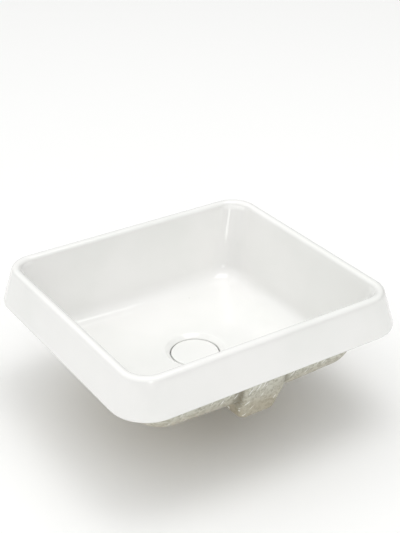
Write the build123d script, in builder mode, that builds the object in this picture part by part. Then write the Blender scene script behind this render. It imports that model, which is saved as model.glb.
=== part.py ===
from build123d import *
import math
import os

# An inset washbasin: one casting of vitreous china with its push waste.
# The origin is the centre of the plane on which the skirt's lower edge sits, the worktop.
# The front faces -Y, and the bowl and waste hang below the worktop.

os.makedirs("parts", exist_ok=True)

# Skirt and rim, which stand on the worktop
basin_width = 450.0
basin_depth = 412.5
skirt_corner = 57.0
rim_height = 56.0
skirt_lean = 17.3
skirt_wall = 9.5
rim_solid_height = 11.0
rim_width = 11.5
rim_outer_round = 4.6
rim_inner_round = 6.0
seat_outer_round = 4.5
seat_inner_round = 2.0

# Bowl inside
bowl_side_lean = 13.6
bowl_front_lean = 11.4
bowl_mouth_corner = 31.0
bowl_foot_corner = 40.0
floor_depth = 65.0
floor_fall_radius = 3600.0
floor_round = 32.0
bowl_cut_above = 10.0
bowl_cut_below = 12.0

# Bowl outside
bowl_wall = 7.5
bowl_foot_wall = 6.0
floor_wall = 9.5
underside_fall_radius = 1800.0
underside_corner = 50.0
underside_round = 47.0
underside_cut_below = 5.0
bowl_join_lap = 3.0

# Outlet in the bowl's floor
recess_mouth_radius = 44.5
recess_radius = 38.0
recess_depth = 12.0
recess_mouth_drop = 4.5
recess_mouth_round = 6.0
recess_cut_above = 2.0
outlet_hole_radius = 23.0
outlet_boss_radius = 34.0
outlet_boss_draft = 30.0
outlet_boss_depth = 100.0
outlet_boss_chamfer = 1.5
outlet_boss_lap = 2.0

# Overflow duct down the front and under the floor to the outlet
duct_half_width = 36.0
duct_foot_half_width = 28.0
duct_top = 34.0
duct_back = 22.0
duct_knee_y = -171.0
duct_knee_z = -46.0
duct_foot_front_y = -157.0
duct_foot_front_z = -85.0
duct_foot_back_z = -97.0
duct_corner = 9.0
duct_foot_round = 6.0
duct_wall = 5.0
passage_half_width = 19.0
passage_depth = 6.0
passage_run_height = 7.0
passage_bend_length = 12.0
passage_outlet_lap = 3.0
overflow_slot_width = 34.0
overflow_slot_height = 11.0
overflow_slot_z = 17.0
overflow_slot_round = 2.0

# Waste body, with an outside thread for the trap at its tail
waste_tube_radius = 20.95
waste_bore_radius = 18.2
waste_flange_radius = 33.0
waste_flange_thickness = 2.0
waste_flange_chamfer = 0.7
waste_funnel = 2.0
waste_tail_depth = 152.0
tail_chamfer = 1.2
tail_relief_height = 2.0
tail_relief_depth = 0.8
tail_relief_drop = 1.0
window_width = 13.0
window_height = 7.0
window_top = 84.5
spider_top = 102.0
spider_height = 6.0
spider_rib = 3.0
spider_hub_wall = 3.0
spider_rib_lap = 1.0

# Seals and nut that clamp the waste to the casting
gasket_thickness = 1.2
gasket_inner_radius = 22.0
cone_washer_radius = 31.0
cone_washer_height = 6.0
cone_washer_lip_height = 3.0
cone_washer_lip_gap = 0.2
cone_washer_chamfer = 2.5
slip_washer_thickness = 2.0
back_nut_radius = 29.0
back_nut_height = 11.0
back_nut_lugs = 8
back_nut_lug_width = 8.0
back_nut_lug_reach = 3.0
back_nut_chamfer = 1.0
thread_gap = 0.1

# Cap that closes the waste: a push shuts it, and the next push lets it rise
cap_radius = 36.0
cap_thickness = 5.0
cap_crown = 1.0
cap_top_round = 2.8
cap_foot_chamfer = 0.8
cap_lift = 8.5
cap_seal_inner = 22.5
cap_seal_outer = 29.5
cap_seal_thickness = 2.2
cap_seal_groove = 1.2
insert_radius = 13.0
insert_socket = 1.5
insert_thickness = 2.3
insert_boss_radius = 6.5
insert_boss_height = 9.0
insert_hole_spare = 0.6
bond_gap = 0.1
cut_past = 1.0

# Push latch that hangs in the spider below the cap
stem_radius = 3.0
stem_thread_length = 8.0
stem_groove = 0.5
stem_collar_radius = 4.6
stem_collar_height = 1.6
stem_tail = 6.0
running_gap = 0.06
stop_gap = 0.1
latch_gap = 0.3
housing_radius = 10.0
housing_wall = 1.5
housing_head_radius = 12.5
housing_head_height = 2.0
housing_roof = 2.5
housing_length = 33.0
rib_count = 4
rib_angle = 30.0
rib_inner_radius = 6.4
lug_angle = 20.0
lug_overlap = 8.0
lug_radius = 8.2
lug_height = 3.0
lug_drop = 2.0
lug_shoulder = 1.0
lug_root = 1.0
rotor_radius = 5.9
rotor_height = 5.0
clip_radius = 6.1
clip_thickness = 1.0
clip_mouth = 4.4
spring_radius = 5.2
spring_wire_radius = 0.45
spring_wire_sides = 8
spring_turns = 5
plug_thickness = 3.0
plug_hole_radius = 3.6


def at(height):
    return Plane.XY.offset(height)


def tan(angle):
    return math.tan(math.radians(angle))


def ring(outer, inner, bottom, height):
    """A plain ring with its axis on the outlet's."""
    with BuildPart() as made:
        with BuildSketch(at(bottom)):
            Circle(outer)
            Circle(inner, mode=Mode.SUBTRACT)
        extrude(amount=height)
    return made


def full_circles(made):
    """The closed round edges of a turned piece, from the lowest up."""
    circles = made.edges().filter_by(GeomType.CIRCLE)
    return circles.filter_by(lambda edge: edge.is_closed).sort_by(Axis.Z)


def save(made, name):
    made.part.label = name
    export_step(made.part, f"parts/{name}.step")


def bowl_outline(height, wall=0.0, foot_corner=bowl_foot_corner):
    """The bowl's rounded outline at a height, grown by a wall."""
    rim_inset = rim_height * tan(skirt_lean) + rim_width
    side_inset = rim_inset + (rim_height - height) * tan(bowl_side_lean) - wall
    front_inset = rim_inset + (rim_height - height) * tan(bowl_front_lean) - wall
    share = (rim_height - height) / (rim_height + floor_depth)
    corner = bowl_mouth_corner + (foot_corner - bowl_mouth_corner) * share
    return basin_width - 2 * side_inset, basin_depth - 2 * front_inset, corner + wall


def bowl_front(height):
    return -bowl_outline(height)[1] / 2


# The space inside the bowl, with a floor that falls to the outlet from all sides.
# The sphere that gives the fall is turned so that neither its pole nor its seam is on the floor.
sphere_turn = (90, 0, 45)
below_floor = -floor_depth - bowl_cut_below
above_rim = rim_height + bowl_cut_above
with BuildPart() as bowl_space:
    with BuildSketch(at(above_rim)):
        RectangleRounded(*bowl_outline(above_rim))
    with BuildSketch(at(below_floor)):
        RectangleRounded(*bowl_outline(below_floor))
    loft(ruled=True)
    with Locations(Location((0, 0, floor_fall_radius - floor_depth), sphere_turn)):
        Sphere(floor_fall_radius, mode=Mode.INTERSECT)
    fillet(bowl_space.faces().filter_by(GeomType.SPHERE).edges(), floor_round)

# The outside of the bowl below the rim, thinnest at its rounded lower edge
bowl_join = rim_height - rim_solid_height + bowl_join_lap
underside = -floor_depth - floor_wall
below_underside = underside - underside_cut_below
with BuildPart() as bowl_shell:
    with BuildSketch(at(bowl_join)):
        RectangleRounded(*bowl_outline(bowl_join, bowl_wall, underside_corner))
    with BuildSketch(at(below_underside)):
        RectangleRounded(*bowl_outline(below_underside, bowl_foot_wall, underside_corner))
    loft(ruled=True)
    with Locations(Location((0, 0, underside_fall_radius + underside), sphere_turn)):
        Sphere(underside_fall_radius, mode=Mode.INTERSECT)
    fillet(bowl_shell.faces().filter_by(GeomType.SPHERE).edges(), underside_round)

# The duct's outside: a box down the front wall and a tapered run back to the outlet
foot_rise = (duct_foot_front_z - duct_foot_back_z) / -duct_foot_front_y


def foot_height(y):
    """The underside of the duct's run at a distance behind the origin."""
    return duct_foot_back_z - y * foot_rise


duct_run_length = -duct_foot_front_y
foot_middle = duct_foot_front_y / 2
foot_plane = Plane(
    origin=(0, foot_middle, foot_height(foot_middle)),
    x_dir=(1, 0, 0),
    z_dir=(0, foot_rise, 1),
)
with BuildPart() as duct_run:
    with BuildSketch(foot_plane):
        RectangleRounded(duct_foot_half_width * 2, duct_run_length, duct_corner)
    with BuildSketch(Plane((0, duct_knee_y / 2, duct_knee_z))):
        RectangleRounded(duct_half_width * 2, -duct_knee_y, duct_corner)
    loft(ruled=True)
    fillet(duct_run.faces().sort_by(Axis.Z)[0].edges(), duct_foot_round)

duct_top_y = bowl_front(duct_top) - 2 * duct_wall - passage_depth
with BuildPart() as duct_drop:
    with BuildSketch(Plane((0, duct_knee_y + duct_back / 2, duct_knee_z))):
        RectangleRounded(duct_half_width * 2, duct_back, duct_corner)
    with BuildSketch(Plane((0, duct_top_y + duct_back / 2, duct_top))):
        RectangleRounded(duct_half_width * 2, duct_back, duct_corner)
    loft(ruled=True)

# The water's way inside the duct: a flat shaft behind the front wall, a bend round the bowl's
# lower edge and a run under the floor that opens into the outlet hole
shaft_top = overflow_slot_z + overflow_slot_height
shaft_top_y = bowl_front(shaft_top) - duct_wall
knee_roof_y = bowl_front(duct_knee_z) - duct_wall
bend_y = knee_roof_y + 2 * duct_wall
run_end_y = passage_outlet_lap - outlet_hole_radius
run_start_y = bend_y + passage_bend_length
with BuildPart() as duct_space:
    with BuildSketch(Plane.YZ):
        with BuildLine():
            Polyline(
                (shaft_top_y, shaft_top),
                (shaft_top_y - passage_depth, shaft_top),
                (duct_knee_y + duct_wall, duct_knee_z),
                (duct_foot_front_y + duct_wall, foot_height(duct_foot_front_y) + duct_wall),
                (run_end_y, foot_height(run_end_y) + duct_wall),
                (run_end_y, foot_height(run_end_y) + duct_wall + passage_run_height),
                (run_start_y, foot_height(run_start_y) + duct_wall + passage_run_height),
                (bend_y, duct_knee_z - passage_run_height * 2),
                (knee_roof_y, duct_knee_z),
                close=True,
            )
        make_face()
    extrude(amount=passage_half_width, both=True)

slot_start = -bowl_front(overflow_slot_z) - duct_wall
slot_length = 2 * duct_wall + passage_depth / 2
with BuildPart() as overflow_slot:
    with BuildSketch(Plane.XZ.offset(slot_start)):
        with Locations((0, overflow_slot_z)):
            SlotOverall(overflow_slot_width, overflow_slot_height)
    extrude(amount=slot_length)

# The recess round the outlet: a sloping mouth, then a straight wall down to the waste's seat
seat_z = -floor_depth - recess_depth
mouth_slope = (recess_mouth_radius - recess_radius) / recess_mouth_drop
recess_top = recess_cut_above - floor_depth
with BuildPart() as outlet_recess:
    with BuildSketch(Plane.XZ):
        with BuildLine():
            Polyline(
                (0, seat_z),
                (recess_radius, seat_z),
                (recess_radius, -floor_depth - recess_mouth_drop),
                (recess_mouth_radius + recess_cut_above * mouth_slope, recess_top),
                (0, recess_top),
                close=True,
            )
        make_face()
    revolve(axis=Axis.Z)

# The casting itself
with BuildPart() as basin_body:
    with BuildSketch():
        RectangleRounded(basin_width, basin_depth, skirt_corner)
    extrude(amount=rim_height, taper=skirt_lean)
    fillet(basin_body.faces().sort_by(Axis.Z)[-1].edges(), rim_outer_round)
    inset = skirt_wall / math.cos(math.radians(skirt_lean))
    with BuildSketch():
        RectangleRounded(basin_width - 2 * inset, basin_depth - 2 * inset, skirt_corner - inset)
    extrude(amount=rim_height - rim_solid_height, taper=skirt_lean, mode=Mode.SUBTRACT)
    seat_face = basin_body.faces().filter_by(Axis.Z).sort_by(Axis.Z)[0]
    fillet(seat_face.outer_wire().edges(), seat_outer_round)
    seat_face = basin_body.faces().filter_by(Axis.Z).sort_by(Axis.Z)[0]
    fillet(seat_face.inner_wires()[0].edges(), seat_inner_round)
    add(bowl_shell.part)
    add(duct_run.part)
    add(duct_drop.part)
    with BuildSketch(at(-outlet_boss_depth)):
        Circle(outlet_boss_radius)
    extrude(amount=outlet_boss_depth - floor_depth - outlet_boss_lap, taper=-outlet_boss_draft)
    chamfer(basin_body.faces().sort_by(Axis.Z)[0].edges(), outlet_boss_chamfer)
    add(bowl_space.part, mode=Mode.SUBTRACT)
    rim_face = basin_body.faces().filter_by(Axis.Z).sort_by(Axis.Z)[-1]
    fillet(rim_face.inner_wires()[0].edges(), rim_inner_round)
    add(outlet_recess.part, mode=Mode.SUBTRACT)
    fillet(full_circles(basin_body)[-1], recess_mouth_round)
    with BuildSketch(at(seat_z)):
        Circle(outlet_hole_radius)
    extrude(amount=-outlet_boss_depth, mode=Mode.SUBTRACT)
    add(duct_space.part, mode=Mode.SUBTRACT)
    add(overflow_slot.part, mode=Mode.SUBTRACT)
    slot_y = bowl_front(overflow_slot_z)
    slot_edges = basin_body.edges().filter_by(Axis.Y, reverse=True)
    slot_edges = slot_edges.filter_by_position(Axis.Y, slot_y - duct_wall / 2, slot_y + duct_wall / 2)
    slot_edges = slot_edges.filter_by_position(Axis.Z, 0, rim_height - rim_solid_height)
    slot_edges = slot_edges.filter_by_position(Axis.X, -overflow_slot_width, overflow_slot_width)
    fillet(slot_edges, overflow_slot_round)

print("body", basin_body.part.volume, len(basin_body.solids()), basin_body.part.is_valid)
save(basin_body, "basin_body")

# The stack below the casting: tapered washer, slip washer and nut
cone_foot = -outlet_boss_depth - cone_washer_height
slip_foot = cone_foot - slip_washer_thickness
nut_foot = slip_foot - back_nut_height

# The waste body: flange, tube, overflow windows, and the cross that carries the latch.
# A relief groove below the nut ends the trap's thread.
flange_foot = seat_z + gasket_thickness
flange_top = flange_foot + waste_flange_thickness
relief_top = nut_foot - tail_relief_drop
with BuildPart() as waste_body:
    with BuildSketch(Plane.XZ):
        with BuildLine():
            Polyline(
                (waste_bore_radius, -waste_tail_depth),
                (waste_tube_radius, -waste_tail_depth),
                (waste_tube_radius, relief_top - tail_relief_height),
                (waste_tube_radius - tail_relief_depth, relief_top - tail_relief_height),
                (waste_tube_radius - tail_relief_depth, relief_top),
                (waste_tube_radius, relief_top),
                (waste_tube_radius, flange_foot),
                (waste_flange_radius, flange_foot),
                (waste_flange_radius, flange_top),
                (waste_bore_radius + waste_funnel, flange_top),
                (waste_bore_radius, flange_top - waste_funnel),
                close=True,
            )
        make_face()
    revolve(axis=Axis.Z)
    chamfer(waste_body.faces().sort_by(Axis.Z)[-1].outer_wire().edges(), waste_flange_chamfer)
    chamfer(waste_body.faces().sort_by(Axis.Z)[0].outer_wire().edges(), tail_chamfer)
    window_middle = -window_top - window_height / 2
    for side in (Plane.XZ, Plane.YZ):
        with BuildSketch(side):
            with Locations((0, window_middle)):
                SlotOverall(window_width, window_height)
        extrude(amount=waste_tube_radius + cut_past, both=True, mode=Mode.SUBTRACT)
    hub_radius = housing_radius + running_gap + spider_hub_wall
    with BuildSketch(at(-spider_top - spider_height)):
        Circle(hub_radius)
        with PolarLocations(waste_bore_radius / 2, 4):
            Rectangle(waste_bore_radius + spider_rib_lap, spider_rib)
        Circle(housing_radius + running_gap, mode=Mode.SUBTRACT)
    extrude(amount=spider_height)
save(waste_body, "waste_body")

# The soft gasket under the flange, and what clamps the waste from below
save(ring(waste_flange_radius, gasket_inner_radius, seat_z, gasket_thickness), "flange_gasket")

thread_bore = waste_tube_radius + thread_gap
with BuildPart() as cone_washer:
    lip_radius = outlet_hole_radius - cone_washer_lip_gap
    with BuildSketch(at(cone_foot)):
        Circle(cone_washer_radius)
        Circle(thread_bore, mode=Mode.SUBTRACT)
    extrude(amount=cone_washer_height)
    chamfer(cone_washer.faces().sort_by(Axis.Z)[0].outer_wire().edges(), cone_washer_chamfer)
    with BuildSketch(at(-outlet_boss_depth)):
        Circle(lip_radius)
        Circle(thread_bore, mode=Mode.SUBTRACT)
    extrude(amount=cone_washer_lip_height)
save(cone_washer, "cone_washer")

save(ring(cone_washer_radius, thread_bore, slip_foot, slip_washer_thickness), "slip_washer")

with BuildPart() as back_nut:
    with BuildSketch(at(nut_foot)):
        Circle(back_nut_radius)
        with PolarLocations(back_nut_radius, back_nut_lugs):
            Rectangle(2 * back_nut_lug_reach, back_nut_lug_width)
        Circle(thread_bore, mode=Mode.SUBTRACT)
    extrude(amount=back_nut_height)
    chamfer(back_nut.faces().sort_by(Axis.Z)[0].outer_wire().edges(), back_nut_chamfer)
save(back_nut, "back_nut")

# The glazed cap, with a socket for its insert and a groove for its seal
cap_foot = flange_top + cap_seal_thickness - cap_seal_groove
cap_edge = cap_foot + cap_thickness
crown_reach = cap_radius - cap_top_round
crown_radius = (crown_reach**2 + cap_crown**2) / (2 * cap_crown)
with BuildPart() as waste_cap:
    with BuildSketch(Plane.XZ):
        with BuildLine():
            Line((0, cap_foot), (cap_radius, cap_foot))
            Line((cap_radius, cap_foot), (cap_radius, cap_edge - cap_top_round))
            RadiusArc((cap_radius, cap_edge - cap_top_round), (crown_reach, cap_edge), -cap_top_round)
            RadiusArc((crown_reach, cap_edge), (0, cap_edge + cap_crown), -crown_radius)
            Line((0, cap_edge + cap_crown), (0, cap_foot))
        make_face()
    revolve(axis=Axis.Z)
    chamfer(full_circles(waste_cap)[0], cap_foot_chamfer)
    with BuildSketch(at(cap_foot)):
        Circle(insert_radius)
    extrude(amount=insert_socket, mode=Mode.SUBTRACT)
    with BuildSketch(at(cap_foot)):
        Circle(cap_seal_outer)
        Circle(cap_seal_inner, mode=Mode.SUBTRACT)
    extrude(amount=cap_seal_groove, mode=Mode.SUBTRACT)
save(waste_cap, "waste_cap")

save(
    ring(cap_seal_outer - bond_gap, cap_seal_inner + bond_gap, flange_top, cap_seal_thickness - bond_gap),
    "cap_seal",
)

# The brass insert bonded into the cap, which the stem screws into
insert_top = cap_foot + insert_socket - bond_gap
boss_foot = insert_top - insert_thickness - insert_boss_height
with BuildPart() as cap_insert:
    with BuildSketch(at(insert_top - insert_thickness)):
        Circle(insert_radius - bond_gap)
    extrude(amount=insert_thickness)
    with BuildSketch(at(boss_foot)):
        RegularPolygon(insert_boss_radius, 6)
    extrude(amount=insert_boss_height)
    with BuildSketch(at(boss_foot)):
        Circle(stem_radius + running_gap)
    extrude(amount=stem_thread_length + insert_hole_spare, mode=Mode.SUBTRACT)
save(cap_insert, "cap_insert")

# The latch from the top down, with the cap shut
roof_top = housing_head_height - spider_top
roof_foot = roof_top - housing_roof
collar_top = roof_foot - cap_lift - stop_gap
rotor_top = collar_top - stem_collar_height - latch_gap
lug_top = rotor_top - lug_shoulder
rib_foot = lug_top + lug_drop
rotor_foot = rotor_top - rotor_height
clip_top = rotor_foot - latch_gap
clip_foot = clip_top - clip_thickness
stem_foot = clip_foot - stem_tail
housing_foot = roof_top - housing_length
plug_top = housing_foot + plug_thickness

with BuildPart() as latch_housing:
    with BuildSketch(at(-spider_top)):
        Circle(housing_head_radius)
    extrude(amount=housing_head_height)
    with BuildSketch(at(housing_foot)):
        Circle(housing_radius)
    extrude(amount=-spider_top - housing_foot)
    with BuildSketch(at(housing_foot)):
        Circle(housing_radius - housing_wall)
    extrude(amount=roof_foot - housing_foot, mode=Mode.SUBTRACT)
    with BuildSketch(at(rib_foot)):
        for k in range(rib_count):
            start = k * 360 / rib_count - rib_angle
            with BuildLine(mode=Mode.PRIVATE) as rib_line:
                inner = CenterArc((0, 0), rib_inner_radius, start, rib_angle)
                outer = CenterArc((0, 0), housing_radius - housing_wall / 2, start, rib_angle)
                Line(inner @ 0, outer @ 0)
                Line(inner @ 1, outer @ 1)
            make_face(rib_line.edges())
    extrude(amount=roof_foot - rib_foot)
    with BuildSketch(at(roof_foot)):
        Circle(stem_radius + running_gap)
    extrude(amount=housing_roof, mode=Mode.SUBTRACT)
save(latch_housing, "latch_housing")

with BuildPart() as cap_stem:
    with BuildSketch(at(stem_foot)):
        Circle(stem_radius)
    extrude(amount=boss_foot + stem_thread_length - stem_foot)
    with BuildSketch(at(collar_top - stem_collar_height)):
        Circle(stem_collar_radius)
    extrude(amount=stem_collar_height)
    with BuildSketch(at(clip_foot)):
        Circle(stem_radius + cut_past)
        Circle(stem_radius - stem_groove, mode=Mode.SUBTRACT)
    extrude(amount=clip_thickness, mode=Mode.SUBTRACT)
save(cap_stem, "cap_stem")

with BuildPart() as latch_rotor:
    with BuildSketch(at(rotor_foot)):
        Circle(rotor_radius)
        Circle(stem_radius + running_gap, mode=Mode.SUBTRACT)
    extrude(amount=rotor_height)
    with BuildSketch(at(lug_top - lug_height)):
        for k in range(rib_count):
            start = k * 360 / rib_count - lug_overlap
            with BuildLine(mode=Mode.PRIVATE) as lug_line:
                inner = CenterArc((0, 0), rotor_radius - lug_root, start, lug_angle)
                outer = CenterArc((0, 0), lug_radius, start, lug_angle)
                Line(inner @ 0, outer @ 0)
                Line(inner @ 1, outer @ 1)
            make_face(lug_line.edges())
    extrude(amount=lug_height)
save(latch_rotor, "latch_rotor")

with BuildPart() as stem_clip:
    with BuildSketch(at(clip_foot)):
        Circle(clip_radius)
        Circle(stem_radius - stem_groove + running_gap, mode=Mode.SUBTRACT)
        with Locations((clip_radius / 2, 0)):
            Rectangle(clip_radius, clip_mouth, mode=Mode.SUBTRACT)
    extrude(amount=clip_thickness)
save(stem_clip, "stem_clip")

save(
    ring(housing_radius - housing_wall - running_gap, plug_hole_radius, housing_foot, plug_thickness),
    "latch_plug",
)

# The spring between plug and clip
spring_foot = plug_top + spring_wire_radius + stop_gap
spring_rise = clip_foot - plug_top - 2 * (spring_wire_radius + stop_gap)
with BuildPart() as latch_spring:
    with BuildLine() as coil:
        pitch = spring_rise / spring_turns
        Helix(pitch, spring_rise, spring_radius, center=(0, 0, spring_foot))
    with BuildSketch(Plane(coil.line @ 0, z_dir=coil.line % 0)):
        RegularPolygon(spring_wire_radius, spring_wire_sides)
    sweep()
save(latch_spring, "latch_spring")

print("seat", seat_z, "flange top", flange_top, "cap edge", cap_edge, "cap top", cap_edge + cap_crown)
print("collar top", collar_top, "rotor", rotor_top, rotor_foot, "clip", clip_foot, "plug", plug_top)
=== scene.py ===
import math

import bmesh
import bpy
from mathutils import Matrix, Vector


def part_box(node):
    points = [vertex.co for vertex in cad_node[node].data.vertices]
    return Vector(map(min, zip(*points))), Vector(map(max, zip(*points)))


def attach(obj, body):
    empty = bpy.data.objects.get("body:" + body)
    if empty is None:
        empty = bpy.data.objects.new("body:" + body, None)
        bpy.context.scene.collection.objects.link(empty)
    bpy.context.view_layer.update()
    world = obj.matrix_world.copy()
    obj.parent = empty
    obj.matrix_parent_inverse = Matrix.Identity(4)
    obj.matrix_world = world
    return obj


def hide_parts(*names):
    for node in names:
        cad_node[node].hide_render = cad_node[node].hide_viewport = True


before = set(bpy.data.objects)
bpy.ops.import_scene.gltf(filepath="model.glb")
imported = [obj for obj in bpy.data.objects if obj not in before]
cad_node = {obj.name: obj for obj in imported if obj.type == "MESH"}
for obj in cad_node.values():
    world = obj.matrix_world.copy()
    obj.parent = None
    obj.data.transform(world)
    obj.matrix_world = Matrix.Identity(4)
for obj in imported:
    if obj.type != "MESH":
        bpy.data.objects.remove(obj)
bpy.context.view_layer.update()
mm = 0.001


# Studio: a pale seamless floor at the height of the waste's tail, and a room of soft white light.
# The camera stands in front of the basin's left corner and looks down into the bowl.
def new_material(name, **shader_values):
    """A material with its shader's own sockets set; returns it, its tree and its shader."""
    made = bpy.data.materials.new(name)
    made.use_nodes = True
    shader = made.node_tree.nodes["Principled BSDF"]
    for key, value in shader_values.items():
        shader.inputs[key.replace("_", " ")].default_value = value
    return made, made.node_tree, shader


floor_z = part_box("waste_body")[0][2]
floor_reach = 8.0
floor_corners = ((-1, -1), (1, -1), (1, 1), (-1, 1))
floor_mesh = bpy.data.meshes.new("studio_floor")
floor_mesh.from_pydata(
    [(x * floor_reach, y * floor_reach, floor_z) for x, y in floor_corners], [], [(0, 1, 2, 3)])
floor = bpy.data.objects.new("studio_floor", floor_mesh)
bpy.context.scene.collection.objects.link(floor)
floor_paper = new_material("studio_paper", Base_Color=(0.95, 0.95, 0.945, 1), Roughness=0.95)[0]
floor_mesh.materials.append(floor_paper)

camera_place = (-0.7664, -1.1830, 0.8393)
camera_back = Vector((-0.4813, -0.7346, 0.4782)).normalized()
camera_right = Vector((0.8365, -0.5480, 0.0)).normalized()
camera_turn = Matrix((camera_right, camera_back.cross(camera_right), camera_back)).transposed()
camera = bpy.data.objects.new("camera", bpy.data.cameras.new("camera"))
camera.matrix_world = Matrix.Translation(camera_place) @ camera_turn.to_4x4()
camera.data.sensor_width = 36.0
camera.data.lens = 77.4
bpy.context.scene.collection.objects.link(camera)
bpy.context.scene.camera = camera


def add_node(tree, kind, settings=None, **values):
    """A node with its settings, and with its sockets set or wired by name, or by number as i0, i1."""
    made = tree.nodes.new(kind)
    for key, value in (settings or {}).items():
        setattr(made, key, value)
    for key, value in values.items():
        by_number = key[0] == "i" and key[1:].isdigit()
        socket = made.inputs[int(key[1:]) if by_number else key.replace("_", " ")]
        if isinstance(value, bpy.types.NodeSocket):
            tree.links.new(value, socket)
        else:
            socket.default_value = value
    return made


def add_math(tree, operation, first, second=0.0):
    return add_node(tree, "ShaderNodeMath", {"operation": operation}, i0=first, i1=second).outputs[0]


# The room's light grows with height, and falls off to the right and, a little, to the left
room_level, room_from_above, room_dim_right, room_dim_left = 0.50, 0.90, 0.65, 0.12
world = bpy.data.worlds.new("studio_room")
world.use_nodes = True
room = world.node_tree
room.nodes["Background"].inputs["Color"].default_value = (0.97, 0.972, 0.966, 1)
room_way = add_node(
    room, "ShaderNodeSeparateXYZ", Vector=add_node(room, "ShaderNodeTexCoord").outputs["Generated"])
room_rise = add_math(room, "MULTIPLY", room_way.outputs["Z"], room_from_above)
room_right = add_math(
    room, "MULTIPLY", add_math(room, "MAXIMUM", room_way.outputs["X"], 0.0), room_dim_right)
room_left = add_math(
    room, "MULTIPLY", add_math(room, "MINIMUM", room_way.outputs["X"], 0.0), -room_dim_left)
room_side = add_math(room, "ADD", room_right, room_left)
room_glow = add_math(room, "SUBTRACT", add_math(room, "ADD", room_level, room_rise), room_side)
room.links.new(room_glow, room.nodes["Background"].inputs["Strength"])
bpy.context.scene.world = world
bpy.context.scene.view_settings.view_transform = "Standard"


def softbox(name, place, width, height, power, tint=(1, 1, 1)):
    """A broad area light that faces the basin."""
    light = bpy.data.objects.new(name, bpy.data.lights.new(name, "AREA"))
    light.data.shape = "RECTANGLE"
    light.data.size = width
    light.data.size_y = height
    light.data.energy = power
    light.data.color = tint
    light.location = place
    light.rotation_euler = (-Vector(place)).to_track_quat("-Z", "Y").to_euler()
    bpy.context.scene.collection.objects.link(light)


softbox("softbox_back_left", (-1.3, 1.5, 1.8), 2.0, 1.6, 3)
softbox("softbox_overhead", (0.3, -0.2, 2.4), 1.3, 1.3, 11)
softbox("softbox_front", (-0.9, -2.3, 0.75), 0.5, 1.2, 4.5, (1.0, 0.995, 0.98))


# Casting, upper side: vitreous china, slip cast in one piece and fired under a thick white glaze.
# The skirt leans in to a rounded rim, and the bowl falls from it to a dished floor and the
# outlet's recess. It is drawn as rings of one rounded outline, from the skirt's inside to the hole.
basin_width, basin_depth = 450.0, 412.5
rim_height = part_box("basin_body")[1][2] / mm
skirt_lean, side_lean, front_lean = 17.3, 13.6, 11.4
skirt_wall, rim_width, rim_solid_height = 9.5, 11.5, 11.0
skirt_roof = rim_height - rim_solid_height
skirt_corner, mouth_corner, foot_corner, least_corner = 57.0, 31.0, 40.0, 6.0
rim_outer_round, rim_inner_round, seat_outer_round, seat_inner_round = 6.4, 6.8, 4.5, 2.0
floor_depth, floor_fall_radius, floor_round = 65.0, 3600.0, 32.0
recess_mouth_radius, recess_radius, recess_depth, recess_mouth_drop = 44.5, 36.8, 12.0, 5.4
recess_mouth_round, recess_lip_round, recess_seat_round, outlet_hole_round = 6.0, 2.0, 1.2, 0.8
outlet_hole_radius, outlet_foot, outlet_stop = 23.0, 100.0, 0.5
corner_steps, side_steps, wall_steps, foot_steps, floor_steps = 22, 16, 14, 14, 16

# How far guide lines run from a corner, and where the glazed skin's parts end
line_reach, floor_run = 20.0, 10.0
mouth_ease, recess_drop = 0.8, 0.8
skin_depth, mouth_step, roof_step = 0.8, 0.6, 1.0


def slope(angle):
    return math.tan(math.radians(angle))


def rounded_ring(half_width, half_depth, corner, height):
    """Points round a rounded rectangle, always the same number and in the same order."""
    points = []
    for quarter in range(4):
        along_x = 1 if quarter in (0, 3) else -1
        along_y = 1 if quarter in (0, 1) else -1
        centre = Vector((along_x * (half_width - corner), along_y * (half_depth - corner)))
        for step in range(corner_steps + 1):
            angle = math.radians(90 * (quarter + step / corner_steps))
            points.append(centre + corner * Vector((math.cos(angle), math.sin(angle))))
        if quarter % 2 == 0:
            gap = Vector((-along_x * 2 * (half_width - corner), 0))
        else:
            gap = Vector((0, -along_y * 2 * (half_depth - corner)))
        for step in range(1, side_steps):
            points.append(points[-1] + gap / side_steps)
    return [Vector((p.x, p.y, height)) for p in points]


def rounded_corner(before, corner, after, radius, steps):
    """The arc that rounds the corner of a section line."""
    into = (Vector(corner) - Vector(before)).normalized()
    out = (Vector(after) - Vector(corner)).normalized()
    turn = math.acos(max(-1, min(1, into.dot(out))))
    reach = radius * math.tan(turn / 2)
    start = Vector(corner) - into * reach
    side = 1 if into.x * out.y - into.y * out.x > 0 else -1
    centre = start + Vector((-into.y, into.x)) * side * radius
    first = math.atan2((start - centre).y, (start - centre).x)
    return [
        (centre.x + radius * math.cos(first + side * turn * k / steps),
         centre.y + radius * math.sin(first + side * turn * k / steps))
        for k in range(steps + 1)
    ]


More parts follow.
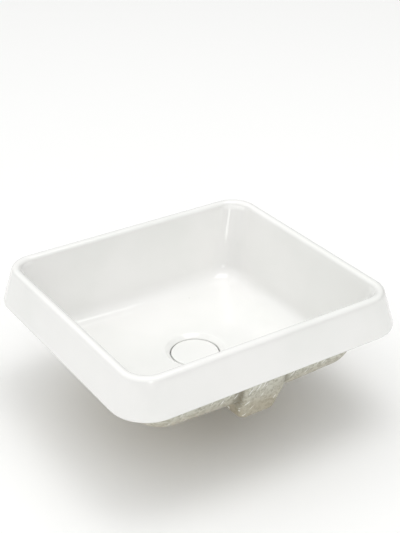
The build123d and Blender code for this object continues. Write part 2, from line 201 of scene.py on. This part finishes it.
def skirt_rings():
    """Rings from the skirt's inside, round its seat, up its face and over the rim."""
    lean = slope(skirt_lean)
    inner_foot = skirt_wall / math.cos(math.radians(skirt_lean))
    outer_crest = rim_height * lean
    inner_crest = outer_crest + rim_width
    inside, outside = (inner_foot, 0), (0, 0)
    crest_outside, crest_inside = (outer_crest, rim_height), (inner_crest, rim_height)
    up_inside = (inner_foot + line_reach * lean, line_reach)
    up_outside = (line_reach * lean, line_reach)
    down_bowl = (inner_crest + line_reach * slope(front_lean), rim_height - line_reach)
    line = [(inner_foot + skirt_roof * lean, skirt_roof)]
    line += [(inner_foot + skirt_roof * share * lean, skirt_roof * share) for share in (0.8, 0.6, 0.4, 0.2)]
    line += rounded_corner(up_inside, inside, outside, seat_inner_round, steps=5)
    line += rounded_corner(inside, outside, up_outside, seat_outer_round, steps=10)
    line += [(rim_height * share * lean, rim_height * share) for share in (0.2, 0.32, 0.44, 0.56, 0.68, 0.8)]
    line += rounded_corner(outside, crest_outside, crest_inside, rim_outer_round, steps=10)
    line += rounded_corner(crest_outside, crest_inside, down_bowl, rim_inner_round, steps=10)

    # Past the rim the outline takes the bowl's corners and its steeper front and back
    rings = []
    side_over = slope(side_lean) - slope(front_lean)
    for inset, height in line:
        over_rim = max(0.0, min(1.0, (inset - outer_crest - rim_outer_round) / rim_width))
        corner = skirt_corner - inset + (mouth_corner - (skirt_corner - inner_crest)) * over_rim
        side_inset = inset
        if height > skirt_roof and over_rim > 0.5:
            side_inset = inset + (rim_height - height) * side_over * over_rim
        rings.append(rounded_ring(basin_width / 2 - side_inset, basin_depth / 2 - inset, corner, height))
    return rings, line[-1][1]


def floor_level(x, y):
    return -floor_depth + (x * x + y * y) / (2 * floor_fall_radius)


def bowl_rings(mouth_top, grow=0.0):
    """Rings down the bowl's inside, over its foot round and in to the outlet; grow moves them out."""
    rim_inset = rim_height * slope(skirt_lean) + rim_width
    foot_round = floor_round + grow
    centre_z = foot_round - floor_depth - grow

    def corner_at(height):
        share = (rim_height - height) / (rim_height + floor_depth)
        return mouth_corner + (foot_corner - mouth_corner) * share + grow

    def foot_arc(lean, share):
        """How far in from the wall's line the foot round is, and its height, on a wall that leans."""
        angle = -math.radians(lean) * (1 - share) - math.pi / 2 * share
        height = centre_z + foot_round * math.sin(angle)
        reach = foot_round * math.cos(angle) + (centre_z - height) * slope(lean)
        return foot_round / math.cos(math.radians(lean)) - reach, height

    def leaning_ring(side_place, front_place, corner):
        """A ring whose height may differ between the side walls and the front and back walls."""
        half_width = (basin_width / 2 - rim_inset - (rim_height - side_place[1]) * slope(side_lean)
                      + grow - side_place[0])
        half_depth = (basin_depth / 2 - rim_inset - (rim_height - front_place[1]) * slope(front_lean)
                      + grow - front_place[0])
        ring = rounded_ring(half_width, half_depth, corner, 0.0)
        for point in ring:
            across = max(0.0, abs(point.x) - half_width + corner)
            along = max(0.0, abs(point.y) - half_depth + corner)
            share = across**2 / (across**2 + along**2)
            point.z = front_place[1] + (side_place[1] - front_place[1]) * share
        return ring

    # The walls, down to where the foot round starts
    rings = []
    side_end, front_end = foot_arc(side_lean, 0.0)[1], foot_arc(front_lean, 0.0)[1]
    for step in range(wall_steps):
        share = step / wall_steps
        side_height = mouth_top + (side_end - mouth_top) * share
        front_height = mouth_top + (front_end - mouth_top) * share
        rings.append(leaning_ring((0.0, side_height), (0.0, front_height), corner_at(front_height)))

    # The foot round: the wall turns into the floor, which rises with the distance from the outlet
    for step in range(foot_steps + 1):
        share = step / foot_steps
        side_place, front_place = foot_arc(side_lean, share), foot_arc(front_lean, share)
        corner = max(corner_at(front_place[1]) - front_place[0], least_corner)
        ring = leaning_ring(side_place, front_place, corner)
        for point in ring:
            point.z += (floor_level(point.x, point.y) + floor_depth) * share * share * (3 - 2 * share)
        rings.append(ring)

    # The floor: the outline eases into the circle of the recess's mouth
    outline = rings[-1]
    mouth_edge = recess_mouth_radius + recess_mouth_round * mouth_ease
    for step in range(1, floor_steps + 1):
        ring = []
        for point in outline:
            away = Vector((point.x, point.y))
            place = away.lerp(away.normalized() * mouth_edge, step / floor_steps)
            ring.append(Vector((place.x, place.y, floor_level(place.x, place.y) - grow)))
        rings.append(ring)

    # The recess: a rounded mouth, a sloping lip, a straight wall, the waste's seat and the hole
    seat = -floor_depth - recess_depth
    on_floor = (mouth_edge + floor_run, floor_level(mouth_edge, 0))
    mouth, lip = (recess_mouth_radius, -floor_depth), (recess_radius, -floor_depth - recess_mouth_drop)
    wall_foot, hole_edge = (recess_radius, seat), (outlet_hole_radius, seat)
    hole_foot = (outlet_hole_radius, -outlet_foot)
    section = rounded_corner(on_floor, mouth, lip, recess_mouth_round, steps=8)
    section += rounded_corner(mouth, lip, wall_foot, recess_lip_round, steps=4)
    section += rounded_corner(lip, wall_foot, hole_edge, recess_seat_round, steps=4)
    section += rounded_corner(wall_foot, hole_edge, hole_foot, outlet_hole_round, steps=4)
    section.append((outlet_hole_radius, -outlet_foot + outlet_stop))
    directions = [Vector((p.x, p.y)).normalized() for p in outline]
    for radius, height in section:
        reach, level = radius + grow, height - grow * recess_drop
        rings.append([Vector((d.x * reach, d.y * reach, level)) for d in directions])
    return rings


def faces_between(rings, closed):
    """Faces between rings of equal length; closed joins the last ring to the first."""
    count = len(rings[0])
    faces = []
    for k in range(len(rings) if closed else len(rings) - 1):
        first, second = k * count, ((k + 1) % len(rings)) * count
        for j in range(count):
            following = (j + 1) % count
            faces.append((first + j, first + following, second + following, second + j))
    return faces


def skin_from_rings(name, rings):
    """A closed skin of rings whose last joins the first, with its faces turned outwards."""
    mesh = bpy.data.meshes.new(name)
    faces = [tuple(reversed(face)) for face in faces_between(rings, closed=True)]
    mesh.from_pydata([point * mm for ring in rings for point in ring], [], faces)
    mesh.update()
    return mesh


def solid_from_rings(name, rings):
    """A closed solid of rings with a flat face at each end."""
    count = len(rings[0])
    mesh = bpy.data.meshes.new(name)
    faces = faces_between(rings, closed=False)
    faces += [tuple(reversed(range(count))), tuple(range((len(rings) - 1) * count, len(rings) * count))]
    mesh.from_pydata([point * mm for ring in rings for point in ring], [], faces)
    shape = bmesh.new()
    shape.from_mesh(mesh)
    bmesh.ops.recalc_face_normals(shape, faces=shape.faces)
    shape.to_mesh(mesh)
    shape.free()
    return mesh


def cut_mesh(mesh, cutter_mesh, operation="DIFFERENCE"):
    """What is left of a mesh after a cut with another, as a new mesh."""
    holder = bpy.data.objects.new("cut_holder", mesh)
    tool = bpy.data.objects.new("cut_tool", cutter_mesh)
    for made in (holder, tool):
        bpy.context.scene.collection.objects.link(made)
    cut = holder.modifiers.new("cut", "BOOLEAN")
    cut.operation = operation
    cut.object = tool
    cut.solver = "EXACT"
    depsgraph = bpy.context.evaluated_depsgraph_get()
    result = bpy.data.meshes.new_from_object(holder.evaluated_get(depsgraph))
    bpy.data.objects.remove(holder)
    bpy.data.objects.remove(tool)
    return result


def smooth_mesh(mesh, crease=40):
    """Smooth faces, with creases left where they meet at more than an angle in degrees."""
    mesh.polygons.foreach_set("use_smooth", [True] * len(mesh.polygons))
    mesh.set_sharp_from_angle(angle=math.radians(crease))


outer_rings, mouth_top = skirt_rings()
inner_rings = bowl_rings(mouth_top - mouth_step)
back_rings = list(reversed(bowl_rings(skirt_roof - roof_step, grow=skin_depth)))
casting_mesh = skin_from_rings("casting_bowl_and_skirt", outer_rings + inner_rings + back_rings)

# The overflow's slot in the front wall. Its cutter flares in front of the wall, which rounds the mouth
slot_width, slot_height, slot_z, slot_round, slot_reach = 34.0, 11.0, 17.0, 2.0, 8.0
slot_flare = ((0.4, 0.8), (0.1, 0.02))
slot_outline_steps = 40
slot_wall_y = -(basin_depth / 2 - (rim_height * slope(skirt_lean) + rim_width
                                   + (rim_height - slot_z) * slope(front_lean)))


def slot_ring(grow, y):
    """The slot's outline, grown, at a distance behind the front, leaning with the wall."""
    points = []
    radius = slot_height / 2 + grow
    reach = (slot_width - slot_height) / 2
    for k in range(slot_outline_steps):
        angle = 2 * math.pi * k / slot_outline_steps
        side = reach if math.cos(angle) > 0 else -reach
        rise = radius * math.sin(angle)
        points.append(Vector((side + radius * math.cos(angle), y - rise * slope(front_lean), slot_z + rise)))
    return points


slot_line = [(slot_round + wider, slot_wall_y + before) for wider, before in slot_flare]
for degrees in range(0, 91, 15):
    turn = math.radians(degrees)
    slot_line.append((slot_round * (1 - math.sin(turn)), slot_wall_y - slot_round * (1 - math.cos(turn))))
slot_line.append((0.0, slot_wall_y - slot_reach))
slot_cutter = solid_from_rings("slot_cutter", [slot_ring(grow, y) for grow, y in slot_line])
casting_mesh = cut_mesh(casting_mesh, slot_cutter)
smooth_mesh(casting_mesh, 50)


def new_effect(name, inputs):
    """An empty shader node group with named sockets, its input and its output node."""
    tree = bpy.data.node_groups.new(name, "ShaderNodeTree")
    kinds = {"value": "NodeSocketFloat", "color": "NodeSocketColor"}
    for label, kind, value in inputs:
        socket = tree.interface.new_socket(label, in_out="INPUT", socket_type=kinds[kind])
        socket.default_value = value
    for label, kind in (("Color", "color"), ("Roughness", "value"), ("Height", "value")):
        tree.interface.new_socket(label, in_out="OUTPUT", socket_type=kinds[kind])
    return tree, tree.nodes.new("NodeGroupInput"), tree.nodes.new("NodeGroupOutput")


def close_effect(tree, group_output, color, roughness, height):
    """Wires an effect's results to its outputs."""
    for label, value in (("Color", color), ("Roughness", roughness), ("Height", height)):
        tree.links.new(value, group_output.inputs[label])


def wear_effect(tree, shader, effect, relief, **values):
    """Places an effect in a material and feeds its results to the shader; relief is in metres."""
    made = tree.nodes.new("ShaderNodeGroup")
    made.node_tree = effect
    for key, value in values.items():
        made.inputs[key.replace("_", " ")].default_value = value
    tree.links.new(made.outputs["Color"], shader.inputs["Base Color"])
    tree.links.new(made.outputs["Roughness"], shader.inputs["Roughness"])
    bump = add_node(tree, "ShaderNodeBump", Height=made.outputs["Height"], Distance=relief)
    tree.links.new(bump.outputs["Normal"], shader.inputs["Normal"])


def add_mix(tree, share, first, second):
    """A colour between two others."""
    return add_node(tree, "ShaderNodeMix", {"data_type": "RGBA"}, i0=share, i6=first, i7=second).outputs[2]


def add_share(tree, base, value, share):
    """A base with a share of a value added."""
    return add_math(tree, "ADD", base, add_math(tree, "MULTIPLY", value, share))


def add_band(tree, value, low, high):
    """A mask that rises from 0 to 1 as a value goes from low to high."""
    made = add_node(tree, "ShaderNodeMapRange", {"interpolation_type": "SMOOTHSTEP"}, Value=value)
    made.inputs["From Min"].default_value = low
    made.inputs["From Max"].default_value = high
    return made.outputs[0]


def add_noise(tree, place, scale, detail=2.0):
    """Soft noise over the surface, from 0 to 1."""
    return add_node(tree, "ShaderNodeTexNoise", Vector=place, Scale=scale, Detail=detail).outputs[0]


def cell_value(tree, cells, channel=0):
    """A value of its own for each cell of a cell texture, from 0 to 1."""
    return add_node(tree, "ShaderNodeSeparateColor", i0=cells.outputs["Color"]).outputs[channel]


# The glaze: white with a breath of grey green where it pools, a slow waviness from the mould, a fine
# orange peel, and rare dark pinholes.
pin_size, pin_rarity, pin_depth, pin_color = 0.028, 0.94, 0.15, (0.22, 0.2, 0.16, 1)
glaze_roughness, peel_roughness, peel_height = 0.045, 0.05, 0.012
glaze_effect, glaze_in, glaze_out = new_effect(
    "fired_glaze",
    [("Glaze", "color", (0.895, 0.89, 0.875, 1)), ("Pooled", "color", (0.85, 0.853, 0.832, 1)),
     ("Waviness", "value", 1.0), ("Pinholes", "value", 1.0)])
glaze_place = add_node(glaze_effect, "ShaderNodeTexCoord").outputs["Object"]
glaze_pool = add_band(glaze_effect, add_noise(glaze_effect, glaze_place, 7.0, 3.0), 0.35, 0.7)
glaze_tone = add_mix(glaze_effect, glaze_pool, glaze_in.outputs["Glaze"], glaze_in.outputs["Pooled"])
pin_cells = add_node(glaze_effect, "ShaderNodeTexVoronoi", Vector=glaze_place, Scale=42.0)
pin_near = add_math(glaze_effect, "LESS_THAN", pin_cells.outputs["Distance"], pin_size)
pin_rare = add_math(glaze_effect, "GREATER_THAN", cell_value(glaze_effect, pin_cells), pin_rarity)
pin_spots = add_math(glaze_effect, "MULTIPLY", pin_near, pin_rare)
pin_mask = add_math(glaze_effect, "MULTIPLY", pin_spots, glaze_in.outputs["Pinholes"])
peel = add_noise(glaze_effect, glaze_place, 260.0, 2.0)
swell = add_math(glaze_effect, "SUBTRACT", add_noise(glaze_effect, glaze_place, 16.0, 1.0), 0.5)
glaze_wave = add_math(glaze_effect, "MULTIPLY", swell, glaze_in.outputs["Waviness"])
glaze_wave = add_share(glaze_effect, glaze_wave, peel, peel_height)
close_effect(
    glaze_effect, glaze_out,
    color=add_mix(glaze_effect, pin_mask, glaze_tone, pin_color),
    roughness=add_share(glaze_effect, glaze_roughness, peel, peel_roughness),
    height=add_share(glaze_effect, glaze_wave, pin_mask, -pin_depth))


def glazed(name, **effect_values):
    """A white glazed finish, with its tone and faults from the shared effect."""
    made, tree, shader = new_material(
        name, Specular_IOR_Level=0.55, Coat_Weight=0.6, Coat_Roughness=0.03, Coat_IOR=1.5)
    wear_effect(tree, shader, glaze_effect, 1.2 * mm, **effect_values)
    return made


def place_piece(name, mesh, material, body, replaced):
    """Puts a finished mesh in the scene as a piece that rides on a body."""
    made = bpy.data.objects.new(name, mesh)
    bpy.context.scene.collection.objects.link(made)
    mesh.materials.clear()
    mesh.materials.append(material)
    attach(made, body)
    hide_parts(*replaced)


casting_glaze = glazed("casting_glaze", Waviness=1.0, Pinholes=1.0)
place_piece("casting_bowl_and_skirt", casting_mesh, casting_glaze, "basin", ["basin_body"])


# Casting, underside: the bowl's outside, the overflow duct down its front and under its floor, and
# the outlet's boss. It is the casting's own solid with its edges eased as slip casting leaves them,
# less the glazed skin above, and its body shows, fired without glaze.
def changed_copy(name, *changes):
    """A node's shape after some modifiers, as a mesh in the scene's frame."""
    holder = bpy.data.objects.new("copy_holder", cad_node[name].data.copy())
    holder.data.transform(cad_node[name].matrix_world)
    bpy.context.scene.collection.objects.link(holder)
    for kind, settings in changes:
        made = holder.modifiers.new(kind.lower(), kind)
        for key, value in settings.items():
            setattr(made, key, value)
    result = bpy.data.meshes.new_from_object(holder.evaluated_get(bpy.context.evaluated_depsgraph_get()))
    bpy.data.objects.remove(holder)
    return result


# The space it may fill: all below the skirt, and the hollow of the skirt up to just under its roof
below_inset, seat_inset, roof_inset = 4.0, 10.4, 24.1
below_gap, seat_gap, roof_gap = 10.0, 0.2, 1.2
space_line = [(below_inset, -outlet_foot - below_gap), (seat_inset, -seat_gap), (seat_inset, 0.0),
              (roof_inset, skirt_roof - roof_gap)]
space_rings = [
    rounded_ring(basin_width / 2 - inset, basin_depth / 2 - inset, skirt_corner - inset, height)
    for inset, height in space_line
]
clay_grain, edge_ease, edge_passes = 1.7 * mm, 0.5, 5
skin_gap, cut_above = 0.4, 5.0
underside_mesh = changed_copy(
    "basin_body", ("REMESH", {"mode": "VOXEL", "voxel_size": clay_grain}),
    ("SMOOTH", {"factor": edge_ease, "iterations": edge_passes}))
underside_mesh = cut_mesh(underside_mesh, solid_from_rings("inside_skirt", space_rings), "INTERSECT")
above_rings = bowl_rings(rim_height + cut_above, grow=skin_gap)
underside_mesh = cut_mesh(underside_mesh, solid_from_rings("above_underside", above_rings))
smooth_mesh(underside_mesh, 50)

# The bare body: fired clay gone grey olive, in cells with paler edges, with a fine speckle, slanting
# pale streaks, ochre towards the lower edges, a dark line in the duct's joins, and painted shade that greys
# it just under the skirt.
clay_wobble = (5 * mm, 5 * mm, 5 * mm)
ochre_band, painted_shade_band, join_front_band = (-30 * mm, -70 * mm), (-14 * mm, 4 * mm), (-135 * mm, -150 * mm)
join_inner_band, join_outer_band = (31 * mm, 36 * mm), (37 * mm, 50 * mm)
painted_shade_color, join_color, streak_color = (0.50, 0.50, 0.46, 1), (0.16, 0.135, 0.085, 1), (0.88, 0.88, 0.85, 1)
edge_strength, join_strength, painted_shade_strength, speck_strength, streak_strength = 0.38, 0.7, 0.5, 0.55, 0.95
streak_lean, streak_size, streak_rarity = 32, (3.6 * mm, 9.0 * mm, 28.0 * mm), 0.60
clay_roughness, speck_roughness, broad_height, speck_height = 0.30, 0.25, 0.6, 0.08
clay_effect, clay_in, clay_out = new_effect(
    "fired_clay",
    [("Body", "color", (0.60, 0.59, 0.50, 1)), ("Dark", "color", (0.39, 0.37, 0.29, 1)),
     ("Pale", "color", (0.70, 0.69, 0.63, 1)), ("Ochre", "color", (0.36, 0.29, 0.17, 1)),
     ("Cell", "value", 230.0), ("Streaks", "value", 1.0)])
clay_place = add_node(clay_effect, "ShaderNodeTexCoord").outputs["Object"]
clay_axes = add_node(clay_effect, "ShaderNodeSeparateXYZ", Vector=clay_place)
clay_broad = add_noise(clay_effect, clay_place, 30.0, 4.0)
clay_speck = add_noise(clay_effect, clay_place, 1500.0, 2.0)
clay_bend = add_node(clay_effect, "ShaderNodeTexNoise", Vector=clay_place, Scale=90.0, Detail=3.0)
clay_shift = add_node(
    clay_effect, "ShaderNodeVectorMath", {"operation": "MULTIPLY"},
    i0=clay_bend.outputs["Color"], i1=clay_wobble).outputs[0]
clay_bent = add_node(
    clay_effect, "ShaderNodeVectorMath", {"operation": "ADD"}, i0=clay_place, i1=clay_shift).outputs[0]
clay_cells = add_node(clay_effect, "ShaderNodeTexVoronoi", Vector=clay_bent, Scale=clay_in.outputs["Cell"])
clay_edges = add_node(
    clay_effect, "ShaderNodeTexVoronoi", {"feature": "DISTANCE_TO_EDGE"},
    Vector=clay_bent, Scale=clay_in.outputs["Cell"])

# The cells' own tones and their paler edges
cell_draw = add_math(clay_effect, "ADD", cell_value(clay_effect, clay_cells), clay_broad)
cell_share = add_band(clay_effect, cell_draw, 0.55, 1.5)
clay_tone = add_mix(clay_effect, cell_share, clay_in.outputs["Dark"], clay_in.outputs["Body"])
cell_edge = add_math(
    clay_effect, "SUBTRACT", 1.0, add_band(clay_effect, clay_edges.outputs["Distance"], 0.02, 0.16))
edge_share = add_math(clay_effect, "MULTIPLY", cell_edge, edge_strength)
clay_tone = add_mix(clay_effect, edge_share, clay_tone, clay_in.outputs["Pale"])

# Ochre below, the dark line where the duct joins the bowl, and painted shade: grey under the skirt's overhang
ochre_low = add_band(clay_effect, clay_axes.outputs["Z"], *ochre_band)
ochre_share = add_math(clay_effect, "MULTIPLY", ochre_low, clay_broad)
clay_tone = add_mix(clay_effect, ochre_share, clay_tone, clay_in.outputs["Ochre"])
join_side = add_math(clay_effect, "ABSOLUTE", clay_axes.outputs["X"])
join_line = add_math(
    clay_effect, "SUBTRACT", add_band(clay_effect, join_side, *join_inner_band),
    add_band(clay_effect, join_side, *join_outer_band))
join_front = add_band(clay_effect, clay_axes.outputs["Y"], *join_front_band)
join_share = add_math(
    clay_effect, "MULTIPLY", add_math(clay_effect, "MULTIPLY", join_line, join_front), join_strength)
clay_tone = add_mix(clay_effect, join_share, clay_tone, join_color)
# Painted shade: the body is greyed towards its top, just under the skirt, where the skirt shades it
painted_shade_high = add_band(clay_effect, clay_axes.outputs["Z"], *painted_shade_band)
painted_shade_share = add_math(clay_effect, "MULTIPLY", painted_shade_high, painted_shade_strength)
clay_tone = add_mix(clay_effect, painted_shade_share, clay_tone, painted_shade_color)

# The speckle and the streaks
speck_share = add_math(
    clay_effect, "MULTIPLY", add_band(clay_effect, clay_speck, 0.60, 0.72), speck_strength)
clay_tone = add_mix(clay_effect, speck_share, clay_tone, clay_in.outputs["Pale"])
streak_place = add_node(
    clay_effect, "ShaderNodeMapping", {"vector_type": "TEXTURE"}, Vector=clay_bent,
    Rotation=(0.0, math.radians(streak_lean), 0.0), Scale=streak_size).outputs[0]
streak_cells = add_node(clay_effect, "ShaderNodeTexVoronoi", Vector=streak_place, Scale=1.0)
streak_rare = add_math(clay_effect, "GREATER_THAN", cell_value(clay_effect, streak_cells, 1), streak_rarity)
streak_core = add_band(clay_effect, streak_cells.outputs["Distance"], 0.36, 0.16)
streak_mask = add_math(clay_effect, "MULTIPLY", streak_core, streak_rare)
streak_share = add_math(
    clay_effect, "MULTIPLY", add_math(clay_effect, "MULTIPLY", streak_mask, streak_strength),
    clay_in.outputs["Streaks"])
close_effect(
    clay_effect, clay_out,
    color=add_mix(clay_effect, streak_share, clay_tone, streak_color),
    roughness=add_share(clay_effect, clay_roughness, clay_speck, speck_roughness),
    height=add_share(
        clay_effect, add_math(clay_effect, "MULTIPLY", clay_broad, broad_height), clay_speck, speck_height))

underside_clay, clay_tree, clay_shader = new_material("underside_clay", Coat_Weight=0.25, Coat_Roughness=0.25)
wear_effect(clay_tree, clay_shader, clay_effect, 0.6 * mm, Cell=230.0, Streaks=1.0)
place_piece("casting_underside", underside_mesh, underside_clay, "basin", ["basin_body"])


# Cap of the waste: a glazed disc with a faint crown and a rounded edge, pressed and fired like the
# casting. Its underside has a socket for the insert and a groove for the seal. It is drawn a little
# narrower and lower than its solid, as it lies in the bowl.
cap_low, cap_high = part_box("waste_cap")
cap_rim, cap_sink = 0.8, 2.4
cap_radius, cap_foot, cap_top = cap_high[0] / mm - cap_rim, cap_low[2] / mm, cap_high[2] / mm - cap_sink
cap_crown, cap_round, cap_foot_round = 0.8, 2.0, 0.6
seal_outer, seal_inner, seal_groove, socket_radius, socket_depth = 29.5, 22.5, 1.2, 13.0, 1.5
crown_reach, axis_gap = cap_radius - cap_round, 0.3
turned_steps = 128


def arc_points(centre, radius, start, end, steps):
    """Points on an arc in a section, from one angle to another, in degrees."""
    turns = [math.radians(start + (end - start) * k / steps) for k in range(steps + 1)]
    return [(centre[0] + radius * math.cos(a), centre[1] + radius * math.sin(a)) for a in turns]


def turned_ring(radius, height):
    """A ring of points round the outlet's axis."""
    turns = [2 * math.pi * k / turned_steps for k in range(turned_steps)]
    return [Vector((radius * math.cos(a), radius * math.sin(a), height)) for a in turns]


cap_line = [
    (crown_reach * share, cap_top - cap_crown * share * share)
    for share in (0.01, 0.2, 0.4, 0.55, 0.7, 0.8, 0.9, 0.96)
]
cap_line += arc_points((crown_reach, cap_top - cap_crown - cap_round), cap_round, 90, 0, steps=10)
cap_line += arc_points(
    (cap_radius - cap_foot_round, cap_foot + cap_foot_round), cap_foot_round, 0, -90, steps=5)
cap_line += [
    (seal_outer, cap_foot), (seal_outer, cap_foot + seal_groove), (seal_inner, cap_foot + seal_groove),
    (seal_inner, cap_foot), (socket_radius, cap_foot), (socket_radius, cap_foot + socket_depth),
    (axis_gap, cap_foot + socket_depth),
]
cap_mesh = solid_from_rings("waste_cap_glazed", [turned_ring(radius, height) for radius, height in cap_line])
smooth_mesh(cap_mesh)
cap_glaze = glazed("cap_glaze", Waviness=0.5, Pinholes=0.0)
place_piece("waste_cap_glazed", cap_mesh, cap_glaze, "cap", ["waste_cap"])


# Waste body: a flanged tube of brass, turned and chromed. A helical thread is cut in its tail, for
# the nut that clamps it to the casting and for the trap.
thread_pitch, thread_depth, thread_flat, thread_root, thread_lap = 2.309, 1.35, 0.15, 0.15, 0.08
tube_radius, thread_top, thread_runout = 20.95, -104.0, 2.0
thread_steps = 40
thread_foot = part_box("waste_body")[0][2] / mm - thread_runout
thread_half = thread_pitch / 2 - thread_flat
crest_radius, root_radius = tube_radius + thread_lap, tube_radius - thread_depth
weld_reach = 0.002 * mm
thread_rings = []
for k in range(int((thread_top - thread_foot) / thread_pitch * thread_steps)):
    angle = 2 * math.pi * k / thread_steps
    height = thread_foot + thread_pitch * k / thread_steps
    section = [(crest_radius, height - thread_half), (root_radius, height - thread_root),
               (root_radius, height + thread_root), (crest_radius, height + thread_half)]
    thread_rings.append([Vector((r * math.cos(angle), r * math.sin(angle), z)) for r, z in section])
waste_mesh = changed_copy("waste_body", ("WELD", {"merge_threshold": weld_reach}))
waste_mesh = cut_mesh(waste_mesh, solid_from_rings("thread_cutter", thread_rings))
smooth_mesh(waste_mesh, 30)

# One effect for the fittings' surfaces: a tone with a shade in patches, turning marks round the
# axis, and a roughness that varies with handling and water.
turning_pitch = 0.4 * mm
fitting_effect, fitting_in, fitting_out = new_effect(
    "fitting_surface",
    [("Tone", "color", (0.8, 0.8, 0.8, 1)), ("Shade", "color", (0.6, 0.6, 0.6, 1)),
     ("Patches", "value", 60.0), ("Turning", "value", 0.0), ("Smoothest", "value", 0.1),
     ("Roughest", "value", 0.3), ("Grit", "value", 0.2)])
fitting_place = add_node(fitting_effect, "ShaderNodeTexCoord").outputs["Object"]
fitting_cloud = add_noise(fitting_effect, fitting_place, fitting_in.outputs["Patches"], 4.0)
fitting_share = add_band(fitting_effect, fitting_cloud, 0.42, 0.68)
fitting_spread = add_math(
    fitting_effect, "SUBTRACT", fitting_in.outputs["Roughest"], fitting_in.outputs["Smoothest"])
fitting_height = add_node(fitting_effect, "ShaderNodeSeparateXYZ", Vector=fitting_place).outputs["Z"]
turning_wave = add_math(
    fitting_effect, "SINE", add_math(fitting_effect, "MULTIPLY", fitting_height, 2 * math.pi / turning_pitch))
turning_marks = add_math(fitting_effect, "MULTIPLY", turning_wave, fitting_in.outputs["Turning"])
fitting_grit = add_noise(fitting_effect, fitting_place, 2200.0)
close_effect(
    fitting_effect, fitting_out,
    color=add_mix(fitting_effect, fitting_share, fitting_in.outputs["Tone"], fitting_in.outputs["Shade"]),
    roughness=add_share(fitting_effect, fitting_in.outputs["Smoothest"], fitting_share, fitting_spread),
    height=add_share(fitting_effect, turning_marks, fitting_grit, fitting_in.outputs["Grit"]))


def fitting_material(name, tone, shade, metallic=0.0, **effect_values):
    """A fitting's material: two tones and the values of the shared effect."""
    made, tree, shader = new_material(name, Metallic=metallic)
    wear_effect(
        tree, shader, fitting_effect, 0.1 * mm, Tone=(*tone, 1), Shade=(*shade, 1), **effect_values)
    return made


waste_chrome = fitting_material(
    "waste_chrome", (0.82, 0.83, 0.84), (0.74, 0.76, 0.78), 1.0,
    Patches=35.0, Turning=0.0, Smoothest=0.06, Roughest=0.16, Grit=0.03)
place_piece("waste_body_threaded", waste_mesh, waste_chrome, "basin", ["waste_body"])


# Seals: a flat gasket under the flange, a tapered washer below the casting and a ring in the cap,
# moulded in black rubber with a bloom of grey.
def dress(name, material):
    """Gives a node of the frame its material."""
    mesh = cad_node[name].data
    mesh.materials.clear()
    mesh.materials.append(material)


def broken_edges(name, width, flat=0.6, edge=40):
    """A node's shape with its sharp edges broken; faces within the flat angle are joined first."""
    made = changed_copy(
        name, ("WELD", {"merge_threshold": weld_reach}),
        ("DECIMATE", {"decimate_type": "DISSOLVE", "angle_limit": math.radians(flat)}),
        ("BEVEL", {"width": width, "segments": 2, "limit_method": "ANGLE",
                   "angle_limit": math.radians(edge)}))
    smooth_mesh(made)
    return made


for seal_node, seal_slot in (("flange_gasket", "gasket_rubber"), ("cap_seal", "seal_rubber")):
    dress(seal_node, fitting_material(
        seal_slot, (0.028, 0.028, 0.03), (0.05, 0.05, 0.052),
        Patches=120.0, Smoothest=0.45, Roughest=0.7, Grit=0.8))
cone_rubber = fitting_material(
    "cone_rubber", (0.03, 0.03, 0.032), (0.06, 0.06, 0.06),
    Patches=90.0, Smoothest=0.5, Roughest=0.75, Grit=1.0)
place_piece(
    "cone_washer_moulded", broken_edges("cone_washer", 0.35 * mm), cone_rubber, "basin",
    ["cone_washer"])


# Slip washer of white plastic, which lets the nut turn without dragging the tapered washer, and the
# lugged back nut, cast in brass and turned on its faces.
slip_plastic = fitting_material(
    "slip_plastic", (0.78, 0.78, 0.75), (0.70, 0.70, 0.66),
    Patches=70.0, Smoothest=0.35, Roughest=0.5, Grit=0.4)
place_piece(
    "slip_washer_pressed", broken_edges("slip_washer", 0.25 * mm), slip_plastic, "basin",
    ["slip_washer"])
nut_brass = fitting_material(
    "nut_brass", (0.72, 0.53, 0.26), (0.50, 0.35, 0.17), 1.0,
    Patches=110.0, Turning=0.25, Smoothest=0.22, Roughest=0.42, Grit=0.8)
place_piece(
    "back_nut_cast", broken_edges("back_nut", 0.4 * mm), nut_brass, "basin", ["back_nut"])


# Push latch: plastic housing, rotor and plug, a turned brass insert and stem, and a clip and a spring
# of steel wire, each in its own finish.
housing_plastic = fitting_material(
    "housing_plastic", (0.74, 0.75, 0.74), (0.66, 0.67, 0.66),
    Patches=150.0, Smoothest=0.3, Roughest=0.45, Grit=0.3)
place_piece(
    "latch_housing_moulded", broken_edges("latch_housing", 0.15 * mm), housing_plastic, "basin",
    ["latch_housing"])
dress("latch_rotor", fitting_material(
    "rotor_plastic", (0.10, 0.22, 0.38), (0.08, 0.18, 0.32),
    Patches=300.0, Smoothest=0.3, Roughest=0.4, Grit=0.3))
dress("latch_plug", fitting_material(
    "plug_plastic", (0.70, 0.71, 0.70), (0.62, 0.63, 0.62),
    Patches=200.0, Smoothest=0.3, Roughest=0.45, Grit=0.3))
dress("cap_insert", fitting_material(
    "insert_brass", (0.75, 0.57, 0.29), (0.58, 0.42, 0.2), 1.0,
    Patches=140.0, Turning=0.4, Smoothest=0.2, Roughest=0.35, Grit=0.2))
dress("cap_stem", fitting_material(
    "stem_brass", (0.75, 0.57, 0.29), (0.62, 0.45, 0.22), 1.0,
    Patches=180.0, Turning=0.4, Smoothest=0.15, Roughest=0.3, Grit=0.2))
dress("stem_clip", fitting_material(
    "clip_steel", (0.60, 0.61, 0.62), (0.48, 0.49, 0.5), 1.0,
    Patches=220.0, Smoothest=0.2, Roughest=0.35, Grit=0.3))
dress("latch_spring", fitting_material(
    "spring_steel", (0.62, 0.63, 0.64), (0.5, 0.51, 0.52), 1.0,
    Patches=260.0, Smoothest=0.18, Roughest=0.3, Grit=0.2))
